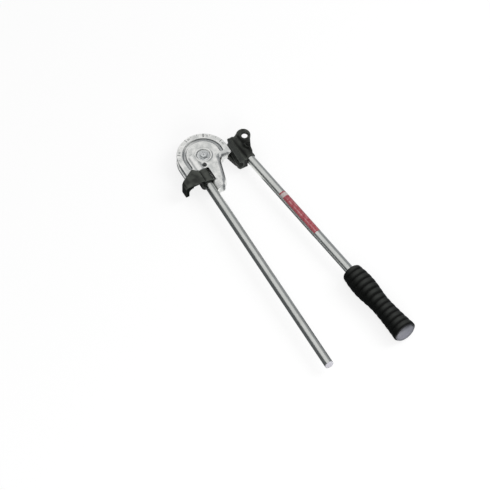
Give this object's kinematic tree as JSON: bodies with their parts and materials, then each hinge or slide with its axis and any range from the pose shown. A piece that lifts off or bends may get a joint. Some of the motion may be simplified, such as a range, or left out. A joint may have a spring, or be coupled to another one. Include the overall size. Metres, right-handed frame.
{
  "type": "tube bender",
  "caption": "Hand lever tube bender: grooved round former with a fixed tubular handle, a swinging lever with a grooved shoe and ribbed grip, and a hinged latch that holds the tube.",
  "frame": {"origin": "on the lever's pivot axis, in the plane of the arm's underside and the pivot pin's head, where the tool rests", "axes": "+Z out of the former's front face along the pivot axis, -Y along the fixed handle, +X to the lever's side at the end of a 180 degree bend"},
  "size_m": [0.1682, 0.4274, 0.0344],
  "materials": {
    "cast_aluminium": "satin sand casting",
    "bronze": "plain",
    "plated_tube": "bright plated",
    "pale_plug": "matt",
    "screw_steel": "black oxide",
    "plain_steel": "turned",
    "black_iron": "semi-matt black enamel on a casting",
    "shoe_steel": "black oxide, worn at the edges",
    "red_label": "printed film",
    "grip_rubber": "moulded, ribbed",
    "grey_cap": "moulded"
  },
  "bodies": {
    "frame": {"bend_former": "cast_aluminium", "pivot_bush": "bronze", "fixed_handle": "plated_tube", "fixed_handle_plug": "pale_plug", "handle_lock_screw": "screw_steel", "latch_washer": "plain_steel"},
    "lever": {"lever_head": "black_iron", "forming_shoe": "shoe_steel", "shoe_screws": "screw_steel", "pivot_pin": "plain_steel", "pivot_washer": "plain_steel", "pivot_circlip": "screw_steel", "thrust_washer": "bronze", "forming_handle": "plated_tube", "handle_set_screw": "screw_steel", "handle_label": "red_label", "grip": "grip_rubber", "grip_end_cap": "grey_cap"},
    "latch": {"tube_latch": "black_iron"}
  },
  "joints": [
    {"name": "lever_swing", "type": "hinge", "parent": "frame", "child": "lever", "pos_m": [0, 0, 0], "axis": [0, 0, 1], "range_deg": [0, 180]},
    {"name": "latch_swing", "type": "hinge", "parent": "frame", "child": "latch", "pos_m": [-0.015, -0.0317, 0.0175], "axis": [0, 1, 0], "range_deg": [0, 70]}
  ]
}
